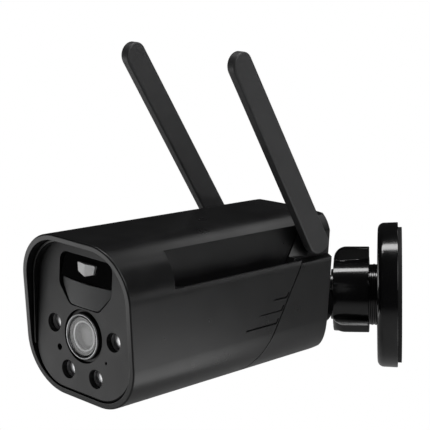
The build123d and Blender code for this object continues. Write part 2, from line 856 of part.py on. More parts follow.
with BuildPart() as card_slot:
    with BuildSketch(at_depth(socket_face)):
        with Locations((0, port_z)):
            Rectangle(card_w, card_h)
    extrude(amount=card_len)
    offset(amount=-socket_skin, openings=card_slot.faces().sort_by(Axis.Y)[-1])
save(card_slot, "card_slot", head_pose)

with BuildPart() as reset_switch:
    with BuildSketch(at_depth(board_face)):
        with Locations((0, port_z - socket_pitch)):
            Rectangle(switch_w, charge_h)
    extrude(amount=-switch_t)
save(reset_switch, "reset_switch", head_pose)

with BuildPart() as reset_button:
    with BuildSketch(at_depth(socket_face)):
        with Locations((0, port_z - socket_pitch)):
            Circle(button_r)
    extrude(amount=socket_face - pad_back)
    with BuildSketch(at_depth(pad_back)):
        with Locations((0, port_z - socket_pitch)):
            Circle(button_r + button_flange)
    extrude(amount=button_flange)
save(reset_button, "reset_button", head_pose)

# Antennas: flat paddles beside the body, each turning on a pin in the cover's hinge pocket
for side, name, rest_lean in ((1, "right", right_lean), (-1, "left", left_lean)):
    paddle_dir = (0, -sin(radians(rest_lean)), cos(radians(rest_lean)))
    front = side * antenna_w / 2
    root = side * (antenna_w / 2 + antenna_flare)
    top = antenna_len - heel
    tip_r = antenna_w / 2 - fit / 2
    with BuildPart() as antenna:
        with BuildSketch(Plane((side * inner_x, pivot_y, pivot_z), x_dir=paddle_dir, z_dir=(side, 0, 0))):
            with BuildLine():
                FilletPolyline((-heel, root), (top, front), (top, -front), (-heel, -root),
                               radius=[heel_r_front, tip_r, tip_r, heel_r_rear], close=True)
            make_face()
        extrude(amount=antenna_t)
        fillet(antenna.edges(), antenna_edge)
        with BuildSketch(Plane.YZ.offset(side * (pocket_x + run))):
            with Locations((pivot_y, pivot_z)):
                Circle(hub_r)
        extrude(amount=side * (inner_x - pocket_x))
        with BuildSketch(Plane.YZ.offset(side * pocket_x)):
            with Locations((pivot_y, pivot_z)):
                Circle(pin_r + run)
        extrude(amount=side * (pin_len - hinge_boss_len + run), mode=Mode.SUBTRACT)
    save(antenna, f"{name}_antenna", head_pose)

    with BuildPart() as hinge_pin:
        with BuildSketch(Plane.YZ.offset(side * (pocket_x - hinge_boss_len))):
            with Locations((pivot_y, pivot_z)):
                Circle(pin_r)
        extrude(amount=side * pin_len)
    save(hinge_pin, f"{name}_hinge_pin", head_pose)

# Ball stem: ball, neck, flared flange and the stud that screws into the head
stem_axis = Axis(ball_centre, (0, 1, 0))
with BuildPart() as ball_stem:
    with BuildSketch(Plane(ball_centre, x_dir=(0, 1, 0), z_dir=(1, 0, 0))):
        with BuildLine():
            neck_end = -sqrt(ball_r**2 - neck_r**2)
            flare_end = -neck_len - flare_len
            stud_y = flare_end - flange_t
            stud_end = stud_y - stud_len
            Polyline((ball_r, 0), (stud_end, 0), (stud_end, stud_r), (stud_y, stud_r), (stud_y, flange_r),
                     (flare_end, flange_r), (-neck_len, neck_r), (neck_end, neck_r))
            ThreePointArc((neck_end, neck_r), (0, ball_r), (ball_r, 0))
        make_face()
    revolve(axis=stem_axis)
save(ball_stem, "ball_stem", head_pose)

with BuildPart() as stem_lock_ring:
    with BuildSketch(at_depth(boss_face + fit)):
        with Locations((0, -ball_below)):
            Circle(ring_r)
            Circle(stud_r + fit, mode=Mode.SUBTRACT)
            with PolarLocations(ring_r, ring_flutes):
                Circle(flute_r, mode=Mode.SUBTRACT)
    extrude(amount=-ring_t)
save(stem_lock_ring, "stem_lock_ring", head_pose)

with BuildPart() as mount_insert:
    with BuildSketch(at_depth(boss_face)):
        with Locations((0, -ball_below)):
            Circle(insert_r)
            Circle(stud_r + fit, mode=Mode.SUBTRACT)
    extrude(amount=insert_len)
save(mount_insert, "mount_insert", head_pose)

# Wall bracket: hollow-backed plate with a threaded stub that cups the ball
plate_front = -back_pad_t - plate_t
stub_front = plate_front - stub_len
with BuildPart() as wall_plate:
    with BuildSketch(at_depth(-back_pad_t)):
        Circle(plate_r)
    extrude(amount=plate_t, taper=plate_draft)
    fillet(wall_plate.edges().sort_by(Axis.Y)[0], plate_round)
    with BuildSketch(at_depth(-back_pad_t)):
        Circle(plate_r - plate_rim)
        with PolarLocations(bolt_circle / 2, bolts, start_angle=30):
            Circle(bolt_boss_r, mode=Mode.SUBTRACT)
    extrude(amount=plate_t - plate_web, mode=Mode.SUBTRACT)
    with BuildSketch(at_depth(plate_front)):
        Circle(stub_r)
    extrude(amount=stub_len)
    with Locations((0, -ball_reach, 0)):
        Sphere(ball_r + run, mode=Mode.SUBTRACT)
    with Locations(at_depth(plate_front).location):
        with PolarLocations(bolt_circle / 2, bolts, start_angle=30):
            CounterSinkHole(bolt_hole_r, bolt_sink_r)
save(wall_plate, "wall_plate", on_wall)

with BuildPart() as wall_pad:
    with BuildSketch(at_depth(0)):
        Circle(plate_r - back_pad_inset)
        with PolarLocations(bolt_circle / 2, bolts, start_angle=30):
            Circle(bolt_hole_r, mode=Mode.SUBTRACT)
    extrude(amount=back_pad_t)
save(wall_pad, "wall_pad", on_wall)

# Seat ring round the ball, slotted where the neck swings out
seat_front_r = ball_r + run + seat_wall
seat_back_r = seat_front_r + seat_shoulder
seat_rear = stub_front - run
with BuildPart() as ball_seat:
    with BuildSketch(at_depth(seat_rear)):
        Circle(seat_back_r)
    extrude(amount=seat_rear + ball_reach)
    with BuildSketch(at_depth(-ball_reach)):
        Circle(seat_front_r)
    extrude(amount=seat_front)
    with Locations((0, -ball_reach, 0)):
        Sphere(ball_r + run, mode=Mode.SUBTRACT)
    swing = Plane((0, -ball_reach, 0), x_dir=stem_dir, z_dir=stem_dir.cross(out_dir))
    tilt = radians(stem_dir.get_angle(out_dir))
    with BuildSketch(swing):
        with BuildLine():
            Polyline((0, 0), (beyond, 0), (beyond * cos(tilt), beyond * sin(tilt)), close=True)
        make_face()
    extrude(amount=neck_r + 2 * run, both=True, mode=Mode.SUBTRACT)
    with BuildSketch(Plane((0, -ball_reach, 0), x_dir=swing.z_dir, z_dir=stem_dir)):
        Circle(neck_r + 2 * run)
    extrude(amount=beyond, mode=Mode.SUBTRACT)
save(ball_seat, "ball_seat", on_wall)

# Lock nut: draws the seat onto the ball, with wings to grip
nut_end = -ball_reach - nut_lead
nut_back = nut_end + nut_len
lip_y = -ball_reach - run
with BuildPart() as lock_nut:
    with BuildSketch(at_depth(nut_back)):
        Circle(nut_r)
    extrude(amount=nut_len, taper=nut_draft)
    for wing in range(nut_wings):
        angle = radians(90 + wing * 360 / nut_wings)
        radial = Vector(cos(angle), 0, sin(angle))
        wing_top = nut_r + wing_h
        root = (nut_r + stub_r) / 2
        bend = wing_r * (1 - sqrt(0.5))
        with BuildSketch(Plane((0, nut_back, 0), x_dir=radial, z_dir=radial.cross(out_dir))):
            with BuildLine():
                Polyline((wing_top - wing_r, nut_len), (root, nut_len), (root, 0), (wing_top, 0),
                         (wing_top, nut_len - wing_r))
                ThreePointArc((wing_top, nut_len - wing_r), (wing_top - bend, nut_len - bend),
                              (wing_top - wing_r, nut_len))
            make_face()
        extrude(amount=wing_t / 2, both=True)
    with BuildSketch(at_depth(nut_back)):
        Circle(seat_front_r + run)
    extrude(amount=nut_len, mode=Mode.SUBTRACT)
    with BuildSketch(at_depth(nut_back)):
        Circle(seat_back_r + run)
    extrude(amount=nut_back - lip_y, mode=Mode.SUBTRACT)
    with BuildSketch(at_depth(nut_back)):
        Circle(stub_r + run)
    extrude(amount=nut_back - seat_rear, mode=Mode.SUBTRACT)
    with Locations(at_depth(lip_y - lip_t).location):
        Cone(seat_front_r + run, dish_r, lip_y - lip_t - nut_end,
             align=(Align.CENTER, Align.CENTER, Align.MIN), mode=Mode.SUBTRACT)
save(lock_nut, "lock_nut", on_wall)
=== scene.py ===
import bmesh
import bpy
import math
from mathutils import Matrix, Vector


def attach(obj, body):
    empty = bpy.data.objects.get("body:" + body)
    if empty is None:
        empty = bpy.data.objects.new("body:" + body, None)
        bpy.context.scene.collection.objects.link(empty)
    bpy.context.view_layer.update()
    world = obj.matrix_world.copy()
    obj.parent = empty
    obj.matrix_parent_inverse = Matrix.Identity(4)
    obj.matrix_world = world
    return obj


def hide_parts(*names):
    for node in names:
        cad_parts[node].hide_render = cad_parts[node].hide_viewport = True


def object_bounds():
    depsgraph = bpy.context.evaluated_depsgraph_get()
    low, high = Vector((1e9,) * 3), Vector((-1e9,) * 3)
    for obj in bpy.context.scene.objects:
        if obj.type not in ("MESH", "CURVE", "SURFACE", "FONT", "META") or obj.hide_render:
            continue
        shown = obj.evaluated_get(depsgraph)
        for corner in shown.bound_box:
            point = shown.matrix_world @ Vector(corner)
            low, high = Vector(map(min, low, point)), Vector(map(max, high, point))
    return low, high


# Security camera with two paddle antennas on a ball-joint wall bracket.
# The head's pieces are drawn in millimetres in the head's own frame:
# lens centre on the panel, +Y to the rear.

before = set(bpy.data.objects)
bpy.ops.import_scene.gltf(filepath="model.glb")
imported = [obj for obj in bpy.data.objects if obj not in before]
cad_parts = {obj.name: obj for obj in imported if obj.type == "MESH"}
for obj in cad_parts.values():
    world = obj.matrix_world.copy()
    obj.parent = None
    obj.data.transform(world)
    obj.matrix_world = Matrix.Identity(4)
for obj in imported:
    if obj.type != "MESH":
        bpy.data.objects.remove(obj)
cadBox = [list(corner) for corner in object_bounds()]
print("frame loaded,", len(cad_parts), "nodes")

# The ball's place from the wall and from the lens in millimetres, then the head's turn and lean in degrees
headPlace = {"ballReach": 31.2, "ballBack": 181.7, "ballBelow": 11.9, "pan": 55.6, "lean": -4.68}
millimetre = Matrix.Scale(0.001, 4)
headFrame = (millimetre
             @ Matrix.Translation((0, -headPlace["ballReach"], 0))
             @ Matrix.Rotation(math.radians(headPlace["lean"]), 4, "X")
             @ Matrix.Rotation(math.radians(headPlace["pan"]), 4, "Z")
             @ Matrix.Translation((0, -headPlace["ballBack"], headPlace["ballBelow"])))
wallFrame = millimetre


# An sRGB hex colour as the linear values that shaders take
def linear(hexColour):
    parts = [int(hexColour[i:i + 2], 16) / 255 for i in (1, 3, 5)]
    return [c / 12.92 if c <= 0.04045 else ((c + 0.055) / 1.055) ** 2.4 for c in parts] + [1.0]


# Adds one node: settings are {socket: value}, links are {socket: (node, output)}
def addNode(tree, kind, settings=None, links=None):
    node = tree.nodes.new(kind)
    for key, value in (settings or {}).items():
        node.inputs[key].default_value = value
    for key, (source, output) in (links or {}).items():
        tree.links.new(source.outputs[output], node.inputs[key])
    return node


def startMaterial(name):
    material = bpy.data.materials.new(name)
    material.use_nodes = True
    material.node_tree.nodes.clear()
    return material, material.node_tree


def endMaterial(tree, shader):
    addNode(tree, "ShaderNodeOutputMaterial", {}, {"Surface": (shader, 0)})


# Shared by the finishes: the span of a noise that shows, the grain's height in metres and uneven gloss
surface = {"noiseSpan": (0.3, 0.7), "tintSpan": (0.35, 0.65), "grainHeight": 0.0001, "coatRoughness": 0.06,
           "metalUneven": 0.06, "hazeGain": 1.6}


# Moulded plastics and rubbers: an even colour with a faint flow mottle, a tool-mark grain and uneven gloss.
# Real grain is about 0.1 mm, too fine to show, so each is drawn as coarse as its grainMm says.
def mouldedPlastic(name, look):
    material, tree = startMaterial(name)
    place = addNode(tree, "ShaderNodeTexCoord")
    flow = addNode(tree, "ShaderNodeTexNoise", {"Scale": 1000 / look["mottleMm"], "Detail": 3.0},
                   {"Vector": (place, "Object")})
    tint = addNode(tree, "ShaderNodeValToRGB", {}, {"Fac": (flow, "Fac")})
    for k, colour in enumerate((look["dark"], look["light"])):
        tint.color_ramp.elements[k].position = surface["tintSpan"][k]
        tint.color_ramp.elements[k].color = linear(colour)
    low, high = surface["noiseSpan"]
    gloss = addNode(tree, "ShaderNodeMapRange", {"From Min": low, "From Max": high,
                                                 "To Min": look["roughness"] - look["uneven"],
                                                 "To Max": look["roughness"] + look["uneven"]},
                    {"Value": (flow, "Fac")})
    grain = addNode(tree, "ShaderNodeTexNoise", {"Scale": 1000 / look["grainMm"], "Detail": 2.0},
                    {"Vector": (place, "Object")})
    bump = addNode(tree, "ShaderNodeBump",
                   {"Strength": look["grainDepth"], "Distance": surface["grainHeight"]},
                   {"Height": (grain, "Fac")})
    shader = addNode(tree, "ShaderNodeBsdfPrincipled",
                     {"IOR": look["ior"], "Coat Weight": look.get("coat", 0.0),
                      "Coat Roughness": surface["coatRoughness"]},
                     {"Base Color": (tint, "Color"), "Roughness": (gloss, "Result"),
                      "Normal": (bump, "Normal")})
    endMaterial(tree, shader)
    return material


# Turned, plated or stamped metals: fine tool marks break up the shine.
# Real marks are under 0.1 mm, too fine to show, so each is drawn as coarse as its markMm says.
def workedMetal(name, look):
    material, tree = startMaterial(name)
    place = addNode(tree, "ShaderNodeTexCoord")
    marks = addNode(tree, "ShaderNodeTexNoise", {"Scale": 1000 / look["markMm"], "Detail": 2.0},
                    {"Vector": (place, "Object")})
    low, high = surface["noiseSpan"]
    gloss = addNode(tree, "ShaderNodeMapRange", {"From Min": low, "From Max": high,
                                                 "To Min": look["roughness"] - surface["metalUneven"],
                                                 "To Max": look["roughness"] + surface["metalUneven"]},
                    {"Value": (marks, "Fac")})
    shader = addNode(tree, "ShaderNodeBsdfPrincipled",
                     {"Base Color": linear(look["colour"]), "Metallic": 1.0},
                     {"Roughness": (gloss, "Result")})
    endMaterial(tree, shader)
    return material


# Clear, tinted or frosted pieces: glass, acrylic and polyethylene with a trace of haze
def clearSolid(name, look):
    material, tree = startMaterial(name)
    place = addNode(tree, "ShaderNodeTexCoord")
    haze = addNode(tree, "ShaderNodeTexNoise", {"Scale": 1000 / look["hazeMm"], "Detail": 1.0},
                   {"Vector": (place, "Object")})
    gloss = addNode(tree, "ShaderNodeMapRange", {"To Min": look["roughness"],
                                                 "To Max": look["roughness"] * surface["hazeGain"]},
                    {"Value": (haze, "Fac")})
    shader = addNode(tree, "ShaderNodeBsdfPrincipled",
                     {"Base Color": linear(look["colour"]), "IOR": look["ior"],
                      "Transmission Weight": look["clear"]},
                     {"Roughness": (gloss, "Result")})
    endMaterial(tree, shader)
    return material


# ABS moulded in a spark-eroded tool: near black, satin, with a fine even grain
bodyAbs = mouldedPlastic("moulded_abs_satin", {
    "dark": "#131314", "light": "#161617", "mottleMm": 14.0, "roughness": 0.30, "uneven": 0.03,
    "grainMm": 0.6, "grainDepth": 0.12, "ior": 1.53})
# The same ABS with a duller texture on the face behind the hood
panelAbs = mouldedPlastic("moulded_abs_matt", {
    "dark": "#1c1c1d", "light": "#202021", "mottleMm": 10.0, "roughness": 0.42, "uneven": 0.03,
    "grainMm": 0.5, "grainDepth": 0.15, "ior": 1.53})
# Thermoplastic elastomer over the antennas: soft, matt, a touch greyer
antennaTpe = mouldedPlastic("moulded_elastomer", {
    "dark": "#3c3c3d", "light": "#414142", "mottleMm": 9.0, "roughness": 0.45, "uneven": 0.03,
    "grainMm": 0.5, "grainDepth": 0.15, "ior": 1.50})
# Polycarbonate moulded in a polished tool: deep black with sharp reflections
glossPc = mouldedPlastic("polished_polycarbonate", {
    "dark": "#0b0b0c", "light": "#0e0e0f", "mottleMm": 12.0, "roughness": 0.16, "uneven": 0.03,
    "grainMm": 1.5, "grainDepth": 0.03, "ior": 1.58, "coat": 0.3})
# Silicone rubber moulded in a blasted tool: dull black that swallows highlights
siliconeRubber = mouldedPlastic("moulded_silicone", {
    "dark": "#121213", "light": "#161617", "mottleMm": 6.0, "roughness": 0.68, "uneven": 0.04,
    "grainMm": 0.5, "grainDepth": 0.2, "ior": 1.43})
# Nylon moulded for the parts inside: black and dull, so that the lens group stays dark
innerNylon = mouldedPlastic("moulded_nylon", {
    "dark": "#0d0d0e", "light": "#121213", "mottleMm": 6.0, "roughness": 0.5, "uneven": 0.05,
    "grainMm": 0.4, "grainDepth": 0.1, "ior": 1.53})
# Glass-fibre board under solder mask: dark green with a smooth, slightly wavy shine
boardFr4 = mouldedPlastic("solder_masked_board", {
    "dark": "#0d3a22", "light": "#11452a", "mottleMm": 4.0, "roughness": 0.35, "uneven": 0.05,
    "grainMm": 0.5, "grainDepth": 0.1, "ior": 1.55})
# PVC sleeve shrunk on the battery cells: smooth blue with a soft shine
cellSleeve = mouldedPlastic("shrunk_pvc_sleeve", {
    "dark": "#2a5a86", "light": "#306492", "mottleMm": 8.0, "roughness": 0.3, "uneven": 0.04,
    "grainMm": 0.6, "grainDepth": 0.05, "ior": 1.53})
# Steel pressed or turned, then zinc plated: pale grey with a soft, uneven shine
zincSteel = workedMetal("zinc_plated_steel", {"colour": "#b9bcc0", "roughness": 0.32, "markMm": 0.5})
# Brass turned on a lathe: warm yellow with a fine tool-mark shine
insertBrass = workedMetal("turned_brass", {"colour": "#c9a35a", "roughness": 0.3, "markMm": 0.5})
# Aluminium turned on a lathe, round the lens: a bright ring with a broad soft highlight
bezelAluminium = workedMetal("turned_aluminium", {"colour": "#b8b9ba", "roughness": 0.3, "markMm": 0.4})
# Optical glass, ground and coated: clear, with crisp reflections
coatedGlass = clearSolid("coated_optical_glass", {
    "colour": "#ececec", "roughness": 0.02, "hazeMm": 4.0, "ior": 1.53, "clear": 1.0})
# Acrylic dyed through and polished: black, with a dim soft reflection
tintedAcrylic = clearSolid("tinted_acrylic", {
    "colour": "#141415", "roughness": 0.08, "hazeMm": 8.0, "ior": 1.3, "clear": 0.0})
# Polyethylene with a frosted face: grey and milky, spreading the light over its bow
frostedHdpe = clearSolid("frosted_polyethylene", {
    "colour": "#545556", "roughness": 0.36, "hazeMm": 1.2, "ior": 1.54, "clear": 0.1})
# Plastic metallised in a vacuum, in the lamp wells: silvery, blurred by the texture under it
metallised = workedMetal("vacuum_metallised_plastic", {
    "colour": "#ebebec", "roughness": 0.34, "markMm": 0.6})
# White opal acrylic over the spotlight: scatters light through its facets
opalAcrylic = mouldedPlastic("moulded_opal_acrylic", {
    "dark": "#f0f0f0", "light": "#f6f6f6", "mottleMm": 5.0, "roughness": 0.3, "uneven": 0.03,
    "grainMm": 1.0, "grainDepth": 0.05, "ior": 1.6, "coat": 0.8})
print("materials made")


# True inside a box given for one side and meant for both
def inBox(point, box):
    spot = (abs(point.x), point.y, point.z)
    return bool(box) and all(low <= value <= high for low, value, high in zip(box[0], spot, box[1]))


# Shared by the pieces: how close points are welded, in metres, and which angles count as flat or sharp
shaping = {"weldDist": 1e-6, "flatDeg": 0.2, "sharpDeg": 28, "smoothDeg": 30, "bevelSteps": 2}


# Softens a form's sharp edges and smooths its curves, then makes it a piece that rides a body
def makePiece(name, form, look):
    bmesh.ops.remove_doubles(form, verts=form.verts, dist=shaping["weldDist"])
    bmesh.ops.dissolve_degenerate(form, dist=look.get("specksMm", 0.0) / 1000, edges=form.edges)
    bmesh.ops.dissolve_limit(form, angle_limit=math.radians(shaping["flatDeg"]), verts=form.verts,
                             edges=form.edges)
    bmesh.ops.recalc_face_normals(form, faces=form.faces)
    if look.get("edgeMm"):
        toHead = headFrame.inverted()
        crisp = {vert for vert in form.verts if inBox(toHead @ vert.co, look.get("crispMm"))}
        sharp = [edge for edge in form.edges if edge.is_manifold and edge.is_convex
                 and edge.calc_face_angle() > math.radians(look.get("sharpDeg", shaping["sharpDeg"]))
                 and not crisp.issuperset(edge.verts)]
        bmesh.ops.bevel(form, geom=sharp, offset=look["edgeMm"] / 1000, segments=shaping["bevelSteps"],
                        profile=0.5, affect="EDGES", clamp_overlap=False)     # 0.5 is a round edge
    mesh = bpy.data.meshes.new(name)
    form.to_mesh(mesh)
    form.free()
    mesh.materials.append(look["finish"])
    mesh.shade_smooth()
    mesh.set_sharp_from_angle(angle=math.radians(look.get("smoothDeg", shaping["smoothDeg"])))
    piece = bpy.data.objects.new(name, mesh)
    bpy.context.scene.collection.objects.link(piece)
    evenShading = piece.modifiers.new("even_shading", "WEIGHTED_NORMAL")
    evenShading.keep_sharp = True
    shaded = piece.evaluated_get(bpy.context.evaluated_depsgraph_get())
    piece.data = bpy.data.meshes.new_from_object(shaded)
    piece.modifiers.clear()
    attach(piece, look["body"])
    if look.get("standsFor"):
        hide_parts(*look["standsFor"])


# A copy of a solid's mesh, to be given the soft edges that a mould leaves
def copied(nodeName):
    form = bmesh.new()
    form.from_mesh(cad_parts[nodeName].data)
    return form


# Spins a closed or axis-ended profile of (radius, depth) about a line from front to rear through centre
def turned(profile, centre, place, closed=True, count=72):
    form = bmesh.new()
    rings = []
    for radius, depth in profile:
        turns = count if radius else 1
        angles = [math.tau * k / turns for k in range(turns)]
        rings.append([form.verts.new(place @ Vector((centre[0] + radius * math.cos(angle), depth,
                                                     centre[1] + radius * math.sin(angle))))
                      for angle in angles])
    for one, two in zip(rings, rings[1:] + (rings[:1] if closed else [])):
        for k in range(max(len(one), len(two))):
            corners = (one[k % len(one)], one[(k + 1) % len(one)],
                       two[(k + 1) % len(two)], two[k % len(two)])
            corners = list(dict.fromkeys(corners))     # a ring on the axis is one point
            if len(corners) > 2:
                form.faces.new(corners)
    return form


# Bends each corner (x, z, radius) of an outline into a short curve and splits the long straights
def rounded(corners, steps=7, stepMm=1.0):
    outline = []
    for before, corner, after in zip(corners[-1:] + corners[:-1], corners, corners[1:] + corners[:1]):
        tip = Vector(corner[:2])
        back, onward = Vector(before[:2]) - tip, Vector(after[:2]) - tip
        reach = corner[2] / math.tan(back.angle(onward) / 2)
        start, end = tip + back.normalized() * reach, tip + onward.normalized() * reach
        for k in range(steps if corner[2] else 1):
            t = k / (steps - 1)
            outline.append((1 - t) ** 2 * start + 2 * t * (1 - t) * tip + t ** 2 * end)
    fine = []
    for here, there in zip(outline, outline[1:] + outline[:1]):
        pieces = max(1, math.ceil((there - here).length / stepMm))
        fine += [here.lerp(there, k / pieces) for k in range(pieces)]
    return fine


# From rim to middle: each ring's share of the outline, and how much of the rim's roll it has
crownRings = [(1.0, 1.0), (0.985, 0.35), (0.96, 0.0), (0.85, 0.0), (0.7, 0.0), (0.55, 0.0), (0.4, 0.0),
              (0.25, 0.0), (0.1, 0.0)]


# Fills a convex outline with rings that close on its middle.
# look["face"] gives the depth, and the rim rolls back.
def crowned(outline, look, place):
    form = bmesh.new()
    middle = sum(outline, Vector((0, 0))) / len(outline)
    levels = [(1.0, look["backMm"], False)]
    levels += [(share, rollShare * look["rollMm"], True) for share, rollShare in crownRings]
    rings = []
    for share, depth, onFace in levels:
        ring = []
        for point in outline:
            x, z = middle + share * (point - middle)
            bow = look["face"](x, z) if onFace else 0.0
            ring.append(form.verts.new(place @ Vector((x, depth + bow, z))))
        rings.append(ring)
    for one, two in zip(rings, rings[1:]):
        for k in range(len(outline)):
            form.faces.new((one[k - 1], one[k], two[k], two[k - 1]))
    form.faces.new(rings[0])
    form.faces.new(rings[-1])
    return form


# What each solid of the part is made of
finishes = {
    "main_housing": bodyAbs, "rear_cover": bodyAbs, "hood_liner": bodyAbs, "front_panel": panelAbs,
    "right_antenna": antennaTpe, "left_antenna": antennaTpe, "wall_plate": glossPc, "lock_nut": glossPc,
    "ball_seat": glossPc, "ball_stem": glossPc, "stem_lock_ring": glossPc, "rear_seal": siliconeRubber,
    "panel_seal": siliconeRubber, "wall_pad": siliconeRubber, "port_cover": siliconeRubber,
    "rear_screws": zincSteel, "right_hinge_pin": zincSteel, "left_hinge_pin": zincSteel,
    "charge_socket": zincSteel, "card_slot": zincSteel, "shield_can": zincSteel, "motion_sensor": zincSteel,
    "mount_insert": insertBrass, "lens_window": coatedGlass, "lens_element": coatedGlass,
    "lens_bezel": bezelAluminium, "motion_window": tintedAcrylic, "motion_lens": frostedHdpe,
    "lamp_domes": metallised, "spot_lens": opalAcrylic, "lens_barrel": innerNylon,
    "lens_holder": innerNylon, "battery_tray": innerNylon, "speaker": innerNylon,
    "image_sensor": innerNylon, "light_sensor": innerNylon, "microphone": innerNylon,
    "reset_switch": innerNylon, "reset_button": innerNylon, "lamp_board": boardFr4,
    "sensor_board": boardFr4, "main_board": boardFr4, "port_board": boardFr4, "battery_cells": cellSleeve}
for nodeName, finish in finishes.items():
    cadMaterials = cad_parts[nodeName].data.materials
    cadMaterials.clear()
    cadMaterials.append(finish)
print("finishes on", len(finishes), "nodes")

# Casing and bracket with the small radii that a mould leaves along each edge
softEdges = {
    "main_housing": {"name": "housing_shell", "body": "head", "finish": bodyAbs, "edgeMm": 0.2,
                     "crispMm": ((32.2, 60, -3.5), (34, 125, 11.8))},     # the grooves stay crisp
    "rear_cover": {"name": "rear_shell", "body": "head", "finish": bodyAbs, "edgeMm": 0.3},
    "front_panel": {"name": "panel_face", "body": "head", "finish": panelAbs, "edgeMm": 0.2},
    "hood_liner": {"name": "liner_arch", "body": "head", "finish": bodyAbs, "edgeMm": 0.25},
    "port_cover": {"name": "socket_flap_cover", "body": "socket_flap", "finish": siliconeRubber,
                   "edgeMm": 0.3},
    "stem_lock_ring": {"name": "fluted_ring", "body": "ring", "finish": glossPc, "edgeMm": 0.25},
    "ball_seat": {"name": "split_seat", "body": "seat", "finish": glossPc, "edgeMm": 0.2},
    "lock_nut": {"name": "winged_nut", "body": "nut", "finish": glossPc, "edgeMm": 0.4, "sharpDeg": 60,
                 "specksMm": 0.2},
    "wall_plate": {"name": "dished_plate", "body": "bracket", "finish": glossPc, "edgeMm": 0.3}}
for nodeName, look in softEdges.items():
    makePiece(look["name"], copied(nodeName), {**look, "standsFor": [nodeName]})
print("soft edges on", len(softEdges), "pieces")

# Lens group: black collar, bright turned ring, flat window, retaining ring, stepped baffle and front element.
# Each profile is (radius, depth) in millimetres.
lensGroup = {
    "lens_collar": {"finish": innerNylon, "standsFor": ["lens_bezel"], "edgeMm": 0.08, "profile": [
        (11.2, 2.35), (11.2, 1.4), (10.1, 1.4), (9.95, -0.4), (8.8, -0.4), (8.8, 2.35)]},
    "turned_ring": {"finish": bezelAluminium, "edgeMm": 0.1, "profile": [
        (9.8, -0.4), (9.7, -0.75), (9.4, -0.95), (9.05, -0.9), (8.6, -0.25), (8.55, 0.7), (8.8, 0.7),
        (8.8, -0.4)]},
    "flat_window": {"finish": coatedGlass, "standsFor": ["lens_window"], "open": True, "profile": [
        (0, -0.3), (8.1, -0.3), (8.4, 0.0), (8.4, 0.7), (0, 0.7)]},
    "retaining_ring": {"finish": bezelAluminium, "edgeMm": 0.08, "profile": [
        (6.45, 1.45), (6.45, 0.95), (5.7, 1.1), (5.7, 1.45)]},
    "stepped_baffle": {"finish": innerNylon, "edgeMm": 0.06, "profile": [
        (8.6, 0.95), (7.5, 1.1), (7.5, 1.5), (6.5, 1.65), (6.5, 2.05), (5.9, 2.15), (5.9, 2.35),
        (8.6, 2.35)]},
    "front_element": {"finish": coatedGlass, "standsFor": ["lens_element"], "open": True, "profile": [
        (0, 2.45), (1.5, 2.48), (3, 2.58), (4.5, 2.76), (5.8, 3.0), (7.0, 3.3), (7.0, 5.6), (0, 5.6)]}}
for name, look in lensGroup.items():
    form = turned(look["profile"], (0, 0), headFrame, not look.get("open"))
    makePiece(name, form, {**look, "body": "head"})

# Four lamps deep in their wells: a bright reflector rim round a nearly flat dome
lampWells = {"places": [(-18.2, 1.8), (18.2, 1.8), (-8.5, -16.5), (8.5, -16.5)],
             "rim": [(3.9, 2.5), (3.9, 4.9), (3.3, 4.9), (3.3, 4.4), (3.75, 3.6), (3.75, 2.5)],
             "dome": [(0, 3.0), (1.2, 3.03), (2.2, 3.12), (2.8, 3.3), (3.15, 3.7), (3.25, 4.4),
                      (3.25, 5.6), (0, 5.6)]}
for k, place in enumerate(lampWells["places"]):
    makePiece(f"lamp_reflector_{k}", turned(lampWells["rim"], place, headFrame), {
        "finish": metallised, "body": "head"})
    makePiece(f"lamp_dome_{k}", turned(lampWells["dome"], place, headFrame, False), {
        "finish": metallised, "body": "head", "standsFor": [] if k else ["lamp_domes"]})

# Motion window: black above, frosted and bowed below, with the spotlight's five-sided lens in the black.
# Corners are (x, z, radius) and face gives the depth, all in millimetres.
motionPieces = {
    "black_window": {"finish": tintedAcrylic, "standsFor": ["motion_window"], "rollMm": 0.35, "backMm": 2.3,
                     "corners": [(-15.75, 33.85, 3.8), (15.75, 33.85, 3.8), (15.75, 23.1, 0),
                                 (-15.75, 23.1, 0)],
                     "face": lambda x, z: 0.45 + 0.12 * (z - 23.1)},     # leans back towards the top
    "bowed_lens": {"finish": frostedHdpe, "standsFor": ["motion_lens"], "rollMm": 0.55, "backMm": 2.3,
                   "corners": [(-15.5, 22.85, 0.5), (15.5, 22.85, 0.5), (15.5, 20.0, 3.8), (8.8, 12.3, 3.8),
                               (-8.8, 12.3, 3.8), (-15.5, 20.0, 3.8)],
                   "face": lambda x, z: 1.5 - 2.1 * (1 - (x / 15.5) ** 2)},     # bows out in the middle
    "facet_lens": {"finish": opalAcrylic, "standsFor": ["spot_lens"], "rollMm": 0.3, "backMm": 1.9,
                   "smoothDeg": 12,
                   "corners": [(-5.5, 31.2, 0.5), (0, 31.2, 0), (5.5, 31.2, 0.5), (4.8, 27.3, 0.6),
                               (0, 25.8, 0), (-4.8, 27.3, 0.6)],
                   "face": lambda x, z: -0.6 + 0.16 * abs(x)}}     # two facets with a ridge between them
for name, look in motionPieces.items():
    makePiece(name, crowned(rounded(look["corners"]), look, headFrame), {**look, "body": "head"})
print("front pieces made")

